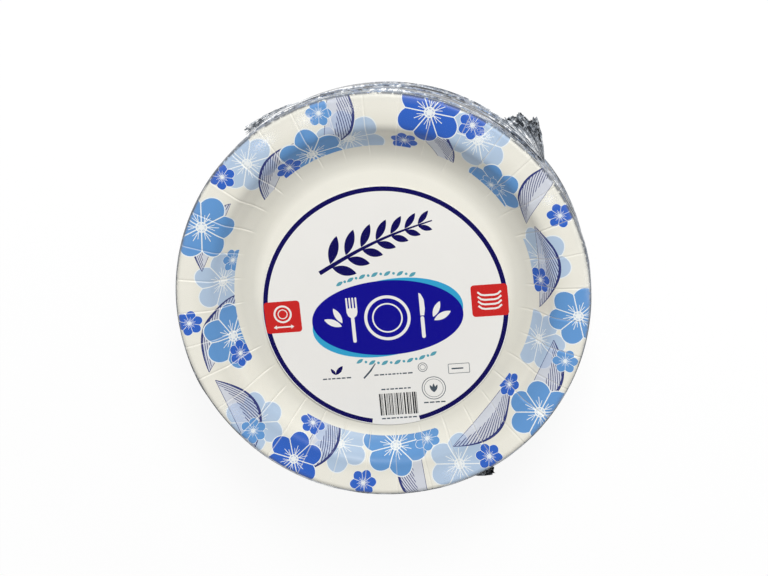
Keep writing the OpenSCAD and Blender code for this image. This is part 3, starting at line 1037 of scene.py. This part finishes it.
def earFan(ear, draw):
    # one gathered corner: pleats fan out from its pivot on the wall to an outline that starts along
    # the wall and ends at the corner's peak; a point is outline * o, bent round the wall, and the
    # pleats lift it in a zigzag; upper and lower faces stand a fold apart
    rows, cols = earForm["rows"], earForm["columns"]
    coarse, fine, driftAlong, driftOut = earForm["crumple"]
    cutAlong, cutOut = earForm["ragged"]
    o, a = np.meshgrid(np.linspace(0, 1, rows), np.linspace(0, 1, cols), indexing="ij")
    swell = sum(size * bell((a - at) / earForm["bumpWidth"]) for at, size in ear["bumps"])
    lean = math.atan2(ear["reach"], ear["length"] - ear["peak"])
    ragged = draw.random(cols // 3 + 2).repeat(3)[:cols][None] * o ** 3
    along = ear["length"] + (ear["peak"] - ear["length"]) * a + swell * math.sin(lean)
    along = along * (1 - cutAlong * ragged)
    out = (ear["reach"] * a + swell * math.cos(lean)) * (1 - cutOut * ragged)
    zig = np.abs(((a * ear["pleats"]) % 1) * 2 - 1) - 0.5
    lift = zig * earForm["pleatHeight"] * (0.3 + 0.7 * o) * np.minimum(1, 6 * o)
    lift += earForm["wave"] * np.sin(7 * a + 2 * o) * o
    lift += facets(draw, rows, cols, 3, 4) * coarse * o + facets(draw, rows, cols, 2, 2) * fine * o
    along = along * o + facets(draw, rows, cols, 3, 4) * driftAlong * o
    out = out * o + facets(draw, rows, cols, 3, 4) * driftOut * o * np.minimum(1, 4 * a)
    angle = math.radians(ear["pivot"]) + along / film["wallRadius"]
    radius = film["wallRadius"] - earForm["sunk"] + np.maximum(out, 0)
    x, y, z = radius * np.cos(angle), radius * np.sin(angle), film["seam"] + ear["rise"] * o + lift
    upper, lower = (np.stack([x, y, z + up * earForm["halfFold"]], -1).reshape(-1, 3)
                    for up in (1, -1))
    k, j = np.meshgrid(np.arange(rows - 1), np.arange(cols - 1), indexing="ij")
    quads = k * cols + j
    quads = np.stack([quads, quads + cols, quads + cols + 1, quads + 1], -1).reshape(-1, 4)
    count = rows * cols
    edge = np.concatenate([
        np.arange(cols), np.arange(2, rows + 1) * cols - 1,
        count - 2 - np.arange(cols - 1), (rows - 2 - np.arange(rows - 2)) * cols])
    after = np.roll(edge, -1)
    walls = np.stack([edge, after, after + count, edge + count], -1)
    faces = np.concatenate([quads, (quads + count)[:, ::-1], walls])
    tip = np.stack([a, 0.01 + 0.99 * o, 0 * o + ear["tone"]], -1).reshape(-1, 3)
    return np.concatenate([upper, lower]), faces, np.concatenate([tip, tip])


def filmSection():
    foot, crest = film["footArc"], film["crestArc"]
    run = np.array([film["wallRadius"] - foot[0], film["wallFoot"] - foot[1]])
    taper = math.degrees(math.atan2(run[1], run[0]) - math.acos(foot[2] / math.hypot(*run)))
    return joinSections([
        np.array([[0.0, 0.0]]),
        arcPoints(foot, -90, taper, 5),
        np.array([[film["wallRadius"], film["wallFoot"]]]),
        np.array([[film["wallRadius"], film["wallTop"]]]),
        arcPoints(crest, 30, 90, 5),
        np.array([[96.0, film["top"]]]),
        np.array([[0.0, film["top"]]])],
        [12.0, 2.4, 0.55, 1.0, 1.2, 9.0])


def buildFilm():
    section = filmSection()
    columns = np.arange(film["columns"]) * 2 * math.pi / film["columns"]
    draw = np.random.default_rng(21)
    out, z = section[:, :1], section[:, 1:]
    push = np.zeros((len(section), len(columns)))
    crease = np.zeros_like(push)
    # tension creases: long thin ridges that run round the wall, each a bell across its height and
    # a softer bell along its length, and slanting a little towards the nearest gathered corner
    gathers = np.array([
        ear["pivot"] + math.degrees(ear["length"] * 0.3 / film["wallRadius"]) for ear in ears])
    share, spread = film["ridgeGather"]
    for _ in range(film["ridges"]):
        near = draw.random() < share
        at = gathers[draw.integers(4)] + draw.normal(0, spread) if near else draw.uniform(0, 360)
        level = draw.uniform(film["wallFoot"] + 1, film["wallTop"] + 1.5)
        span, thick = draw.uniform(*film["ridgeSpan"]), draw.uniform(*film["ridgeWidth"])
        gap, toEar = turnFrom(at, np.degrees(columns)), turnFrom(at, gathers)
        pull = toEar[np.abs(toEar).argmin()]
        slope = (film["seam"] - level) * 0.012 * np.sign(pull) * math.exp(-abs(pull) / 30)
        middle = level + slope * gap + 0.3 * np.sin(gap * 0.4 + level)
        ridge = bell(gap / span) * bell((z - middle) / thick) * (out > 100)
        push += draw.uniform(*film["ridgeHeight"]) * ridge
        crease = np.maximum(crease, ridge * draw.uniform(0.4, 1.0))
    # broad soft sagging of the sheet over the well
    soft = sum(np.sin(k * columns + p) * np.sin(out * q) for k, p, q in film["sagWaves"])
    soft = soft * ((out < 104) & (z > 50))
    tangent = tangents(section)
    normal = np.stack([tangent[:, 1], -tangent[:, 0]], -1)
    radius = out + normal[:, :1] * push
    height = z + normal[:, 1:] * push + soft * film["sag"]
    radius[0] = radius[-1] = 0.0
    points, quads, fans = ringGrid(columns, radius, height)
    onWall = np.clip((out - 103.5) / 3.5, 0, 1) * np.clip((z - 8) / 6, 0, 1)
    # painted shade: the dark line over the rim, and the wall's marks at the crest, are painted
    # stronger towards the head of the print
    shadeSide = 0.2 + 0.8 * np.clip(np.cos(columns - math.radians(film["shadedTurn"])) * 1.6 + 0.5, 0, 1)
    crestShare = np.clip((z - film["wallTop"]) / 0.3, 0, 1)
    onWall = onWall * (1 - crestShare * (1 - 0.5 * shadeSide))
    # painted highlights: white lace of small crumples where the sheet lies on the rim beside the
    # gathered corners
    glintPatch = sum(size * bell(turnFrom(at, np.degrees(columns)) / wide)
                for at, wide, size in film["crumpleGlints"])
    (creepAt, creepWidth), (lineAt, lineWidth) = film["glintBand"], film["rimLine"]
    glintPatch = glintPatch * bell((out - creepAt) / creepWidth) * (z > 55)
    rimLine = bell((out - lineAt) / lineWidth) * (z > 59) * shadeSide
    marks = np.zeros((len(points), 3))
    bunch = np.zeros((len(points), 3))
    bunch[:-2, 2] = rimLine[1:-1].ravel()
    marks[:-2, 0] = crease[1:-1].ravel()
    marks[:-2, 1] = glintPatch[1:-1].ravel()
    marks[:-2, 2] = onWall[1:-1].ravel()
    faces = quads.tolist() + fans.tolist()
    start = len(points)
    allPoints, allMarks, allBunches = [points], [marks], [bunch]
    for ear in ears:
        more, moreFaces, moreMarks = earFan(ear, draw)
        faces += (moreFaces + start).tolist()
        allPoints.append(more)
        allMarks.append(moreMarks * 0)
        allBunches.append(moreMarks)
        start += len(more)
    piece = makePiece("shrinkFilm", np.concatenate(allPoints), faces, [clearFilm()])
    flat = np.ones(len(faces), bool)
    flat[len(quads) + len(fans):] = False  # the crumpled corners keep their facets
    piece.data.polygons.foreach_set("use_smooth", flat)
    writeMarks(piece, "creasing", "POINT", np.concatenate(allMarks))
    writeMarks(piece, "bunching", "POINT", np.concatenate(allBunches))
    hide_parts("shrink_film")
    piece.visible_shadow = False
    print("shrink film", sum(len(f) - 2 for f in faces), "triangles")


buildFilm()

# Floor, light and camera
studio = {
    "distance": 700.0,
    "tilt": 15.6,  # from straight above
    "turn": 73.0,  # towards which the camera leans, from +X
    "aim": (1.5, 6.5, 58.0),
    "focalPixels": 1347.0,
    "imageWidth": 768,
    "worldLevel": 0.4,
    "floor": "#FAFAFA",
    "floorGlow": 1.03,
    "floorFade": (0.25, 0.7, 0.86),  # metres from the pack, and the share of glow beside it
    "lampAim": (0, 0, 0.05),
    "lamps": (("keyLight", (0.151, 0.857, 0.966), 0.5, 11.6),),
}


def seenDirectly(tree):
    # 1 for rays from the camera, off a gloss or through the film, and 0 for those that carry light
    rays = addNode(tree, "LightPath").outputs
    seen = calc("MAXIMUM", rays["Is Camera Ray"], rays["Is Glossy Ray"])
    return calc("MAXIMUM", seen, rays["Is Transmission Ray"])


def buildStudio():
    floorMesh = bpy.data.meshes.new("floor")
    floorMesh.from_pydata([(-3, -3, 0), (3, -3, 0), (3, 3, 0), (-3, 3, 0)], [], [(0, 1, 2, 3)])
    floor = addObject("floor", floorMesh)
    # a pale floor that is seen nearly white round the pack, and is lit as matte paper
    material, tree, coordinate = newMaterial("paleFloor")
    away = vectorMath("LENGTH", coordinate).outputs[1]
    share = times(seenDirectly(tree), remap(away, *studio["floorFade"]))
    matte = addNode(tree, "BsdfDiffuse", {"Color": hexToLinear(studio["floor"])})
    glow = addNode(tree, "Emission", {"Color": (1, 1, 1, 1), "Strength": studio["floorGlow"]})
    mixed = addNode(tree, "MixShader", [share, matte, glow])
    addNode(tree, "OutputMaterial", {"Surface": mixed})
    floorMesh.materials.append(material)

    world = bpy.data.worlds.new("studioWorld")
    bpy.context.scene.world = world
    world.use_nodes = True
    tree = world.node_tree
    tree.nodes.clear()
    level = remap(seenDirectly(tree), 0.0, 1.0, studio["worldLevel"])
    sky = addNode(tree, "Background", {"Color": (1, 1, 1, 1), "Strength": level})
    addNode(tree, "OutputWorld", {"Surface": sky})

    for name, place, size, power in studio["lamps"]:
        light = bpy.data.lights.new(name, "AREA")
        light.size, light.energy = size, power
        lamp = addObject(name, light)
        lamp.location = place
        toPack = Vector(studio["lampAim"]) - Vector(place)
        lamp.rotation_euler = toPack.to_track_quat("-Z", "Y").to_euler()

    tilt, turn = math.radians(studio["tilt"]), math.radians(studio["turn"])
    away = Vector((math.sin(tilt) * math.cos(turn), math.sin(tilt) * math.sin(turn), math.cos(tilt)))
    aim = Vector(studio["aim"]) * mm
    right = (-away).cross(Vector((0, 1, 0))).normalized()
    up = away.cross(right)
    lens = bpy.data.cameras.new("photoCamera")
    lens.lens = studio["focalPixels"] / studio["imageWidth"] * lens.sensor_width
    lens.clip_start, lens.clip_end = 0.01, 20
    camera = addObject("photoCamera", lens)
    eye = Matrix.Translation(aim + away * studio["distance"] * mm)
    camera.matrix_world = eye @ Matrix((right, up, away)).transposed().to_4x4()
    bpy.context.scene.camera = camera
    bpy.context.scene.view_settings.view_transform = "Standard"
    print("studio ready")


buildStudio()
